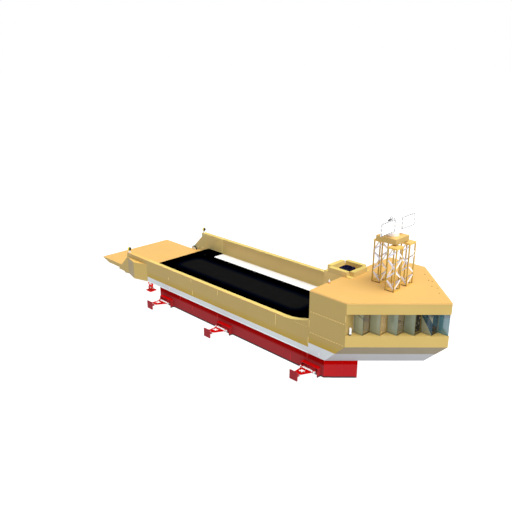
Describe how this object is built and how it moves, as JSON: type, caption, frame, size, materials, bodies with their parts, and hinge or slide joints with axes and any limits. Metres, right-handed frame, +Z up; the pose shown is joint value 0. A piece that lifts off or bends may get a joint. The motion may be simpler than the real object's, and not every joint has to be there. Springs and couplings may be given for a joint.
{
  "type": "flat-bottomed twin-hull river barge with wheelhouse",
  "caption": "River barge on twin flat-bottomed hulls, with an open cargo deck between bulwarks, a stern ramp, a bow wheelhouse, lattice masts with a radar and folding side legs.",
  "frame": {"origin": "on the floor under the middle of the length, on the centreline", "axes": "+X forward, +Y to port, +Z up"},
  "size_m": [30.14, 11.3406, 9.21],
  "materials": {
    "yellow_paint": "satin marine paint",
    "red_paint": "satin bottom paint",
    "white_paint": "satin marine paint",
    "black_deck_paint": "matt anti-slip deck paint",
    "grey_steel": "bare grey steel",
    "navy_paint": "satin dark blue",
    "tinted_glass": "blue-green tinted glass"
  },
  "bodies": {
    "barge": {"bow_band": "white_paint", "bow_chamfer": "yellow_paint", "bulwark_port": "yellow_paint", "bulwark_starboard": "yellow_paint", "casing_coaming": "yellow_paint", "cross_deck": "white_paint", "deck_plate": "black_deck_paint", "door_steps": "grey_steel", "engine_casing": "yellow_paint", "fan_frame": "navy_paint", "helm_seat": "navy_paint", "house_front": "yellow_paint", "house_header": "yellow_paint", "house_rear": "yellow_paint", "house_side_port": "yellow_paint", "house_side_starboard": "yellow_paint", "hull_port": "red_paint", "hull_starboard": "red_paint", "mast_tower_aft": "yellow_paint", "mast_tower_port": "yellow_paint", "mast_tower_starboard": "yellow_paint", "radar_base": "white_paint", "radar_platform": "yellow_paint", "roof": "yellow_paint", "side_lantern_port": "white_paint", "side_lantern_starboard": "white_paint", "steering_desk": "white_paint", "stern_apron": "yellow_paint", "stern_box": "yellow_paint", "stern_lamp_port": "white_paint", "stern_lamp_starboard": "white_paint", "window_frame": "yellow_paint", "window_glass": "tinted_glass"},
    "ramp_body": {"ramp": "yellow_paint"},
    "radar": {"radar_antenna": "white_paint"},
    "fan": {"fan_rotor": "navy_paint"},
    "door": {"rear_door": "yellow_paint"},
    "propeller_starboard_body": {"propeller_starboard": "grey_steel"},
    "rudder_starboard_body": {"rudder_starboard": "red_paint"},
    "propeller_port_body": {"propeller_port": "grey_steel"},
    "rudder_port_body": {"rudder_port": "red_paint"},
    "arm_starboard_aft": {"leg_arm_starboard_aft": "red_paint"},
    "foot_starboard_aft": {"leg_foot_starboard_aft": "red_paint"},
    "arm_port_aft": {"leg_arm_port_aft": "red_paint"},
    "foot_port_aft": {"leg_foot_port_aft": "red_paint"},
    "arm_starboard_mid": {"leg_arm_starboard_mid": "red_paint"},
    "foot_starboard_mid": {"leg_foot_starboard_mid": "red_paint"},
    "arm_port_mid": {"leg_arm_port_mid": "red_paint"},
    "foot_port_mid": {"leg_foot_port_mid": "red_paint"},
    "arm_starboard_fore": {"leg_arm_starboard_fore": "red_paint"},
    "foot_starboard_fore": {"leg_foot_starboard_fore": "red_paint"},
    "arm_port_fore": {"leg_arm_port_fore": "red_paint"},
    "foot_port_fore": {"leg_foot_port_fore": "red_paint"},
    "arm_starboard_stern": {"leg_arm_starboard_stern": "red_paint"},
    "foot_starboard_stern": {"leg_foot_starboard_stern": "red_paint"},
    "arm_port_stern": {"leg_arm_port_stern": "red_paint"},
    "foot_port_stern": {"leg_foot_port_stern": "red_paint"}
  },
  "joints": [
    {"name": "ramp_hinge", "type": "hinge", "parent": "barge", "child": "ramp_body", "pos_m": [-11.17, 0, 1.12], "axis": [0, 1, 0], "range_deg": [-14, 70]},
    {"name": "radar_turn", "type": "hinge", "parent": "barge", "child": "radar", "pos_m": [11.07, 0, 8.33], "axis": [0, 0, 1], "continuous": true},
    {"name": "fan_turn", "type": "hinge", "parent": "barge", "child": "fan", "pos_m": [8.065, 0, 5.19], "axis": [0, 0, 1], "continuous": true},
    {"name": "rear_door_hinge", "type": "hinge", "parent": "barge", "child": "door", "pos_m": [8.44, -3.12, 2.785], "axis": [0, 0, 1], "range_deg": [0, 100]},
    {"name": "propeller_starboard_spin", "type": "hinge", "parent": "barge", "child": "propeller_starboard_body", "pos_m": [-6.75, -2.64, 0.55], "axis": [1, 0, 0], "continuous": true},
    {"name": "rudder_starboard_steer", "type": "hinge", "parent": "barge", "child": "rudder_starboard_body", "pos_m": [-7.35, -2.64, 1], "axis": [0, 0, 1], "range_deg": [-35, 35]},
    {"name": "propeller_port_spin", "type": "hinge", "parent": "barge", "child": "propeller_port_body", "pos_m": [-6.75, 2.64, 0.55], "axis": [1, 0, 0], "continuous": true},
    {"name": "rudder_port_steer", "type": "hinge", "parent": "barge", "child": "rudder_port_body", "pos_m": [-7.35, 2.64, 1], "axis": [0, 0, 1], "range_deg": [-35, 35]},
    {"name": "leg_starboard_aft_swing", "type": "hinge", "parent": "barge", "child": "arm_starboard_aft", "pos_m": [-5.09, -4.42, 0.36], "axis": [1, 0, 0], "range_deg": [0, 90]},
    {"name": "foot_starboard_aft_tilt", "type": "hinge", "parent": "arm_starboard_aft", "child": "foot_starboard_aft", "pos_m": [-5.09, -5.41027, 0.49917], "axis": [1, 0, 0], "range_deg": [-20, 20]},
    {"name": "leg_port_aft_swing", "type": "hinge", "parent": "barge", "child": "arm_port_aft", "pos_m": [-5.09, 4.42, 0.36], "axis": [-1, 0, 0], "range_deg": [0, 90]},
    {"name": "foot_port_aft_tilt", "type": "hinge", "parent": "arm_port_aft", "child": "foot_port_aft", "pos_m": [-5.09, 5.41027, 0.49917], "axis": [1, 0, 0], "range_deg": [-20, 20]},
    {"name": "leg_starboard_mid_swing", "type": "hinge", "parent": "barge", "child": "arm_starboard_mid", "pos_m": [1.27, -4.42, 0.36], "axis": [1, 0, 0], "range_deg": [0, 90]},
    {"name": "foot_starboard_mid_tilt", "type": "hinge", "parent": "arm_starboard_mid", "child": "foot_starboard_mid", "pos_m": [1.27, -5.41027, 0.49917], "axis": [1, 0, 0], "range_deg": [-20, 20]},
    {"name": "leg_port_mid_swing", "type": "hinge", "parent": "barge", "child": "arm_port_mid", "pos_m": [1.27, 4.42, 0.36], "axis": [-1, 0, 0], "range_deg": [0, 90]},
    {"name": "foot_port_mid_tilt", "type": "hinge", "parent": "arm_port_mid", "child": "foot_port_mid", "pos_m": [1.27, 5.41027, 0.49917], "axis": [1, 0, 0], "range_deg": [-20, 20]},
    {"name": "leg_starboard_fore_swing", "type": "hinge", "parent": "barge", "child": "arm_starboard_fore", "pos_m": [8.82, -4.42, 0.36], "axis": [1, 0, 0], "range_deg": [0, 90]},
    {"name": "foot_starboard_fore_tilt", "type": "hinge", "parent": "arm_starboard_fore", "child": "foot_starboard_fore", "pos_m": [8.82, -5.41027, 0.49917], "axis": [1, 0, 0], "range_deg": [-20, 20]},
    {"name": "leg_port_fore_swing", "type": "hinge", "parent": "barge", "child": "arm_port_fore", "pos_m": [8.82, 4.42, 0.36], "axis": [-1, 0, 0], "range_deg": [0, 90]},
    {"name": "foot_port_fore_tilt", "type": "hinge", "parent": "arm_port_fore", "child": "foot_port_fore", "pos_m": [8.82, 5.41027, 0.49917], "axis": [1, 0, 0], "range_deg": [-20, 20]},
    {"name": "leg_starboard_stern_swing", "type": "hinge", "parent": "barge", "child": "arm_starboard_stern", "pos_m": [-8.28, -3.3, 1.03], "axis": [-1, 0, 0], "range_deg": [0, 60]},
    {"name": "foot_starboard_stern_tilt", "type": "hinge", "parent": "arm_starboard_stern", "child": "foot_starboard_stern", "pos_m": [-8.28, -3.3, 0.275], "axis": [1, 0, 0], "range_deg": [-20, 20]},
    {"name": "leg_port_stern_swing", "type": "hinge", "parent": "barge", "child": "arm_port_stern", "pos_m": [-8.28, 3.3, 1.03], "axis": [1, 0, 0], "range_deg": [0, 60]},
    {"name": "foot_port_stern_tilt", "type": "hinge", "parent": "arm_port_stern", "child": "foot_port_stern", "pos_m": [-8.28, 3.3, 0.275], "axis": [1, 0, 0], "range_deg": [-20, 20]}
  ]
}
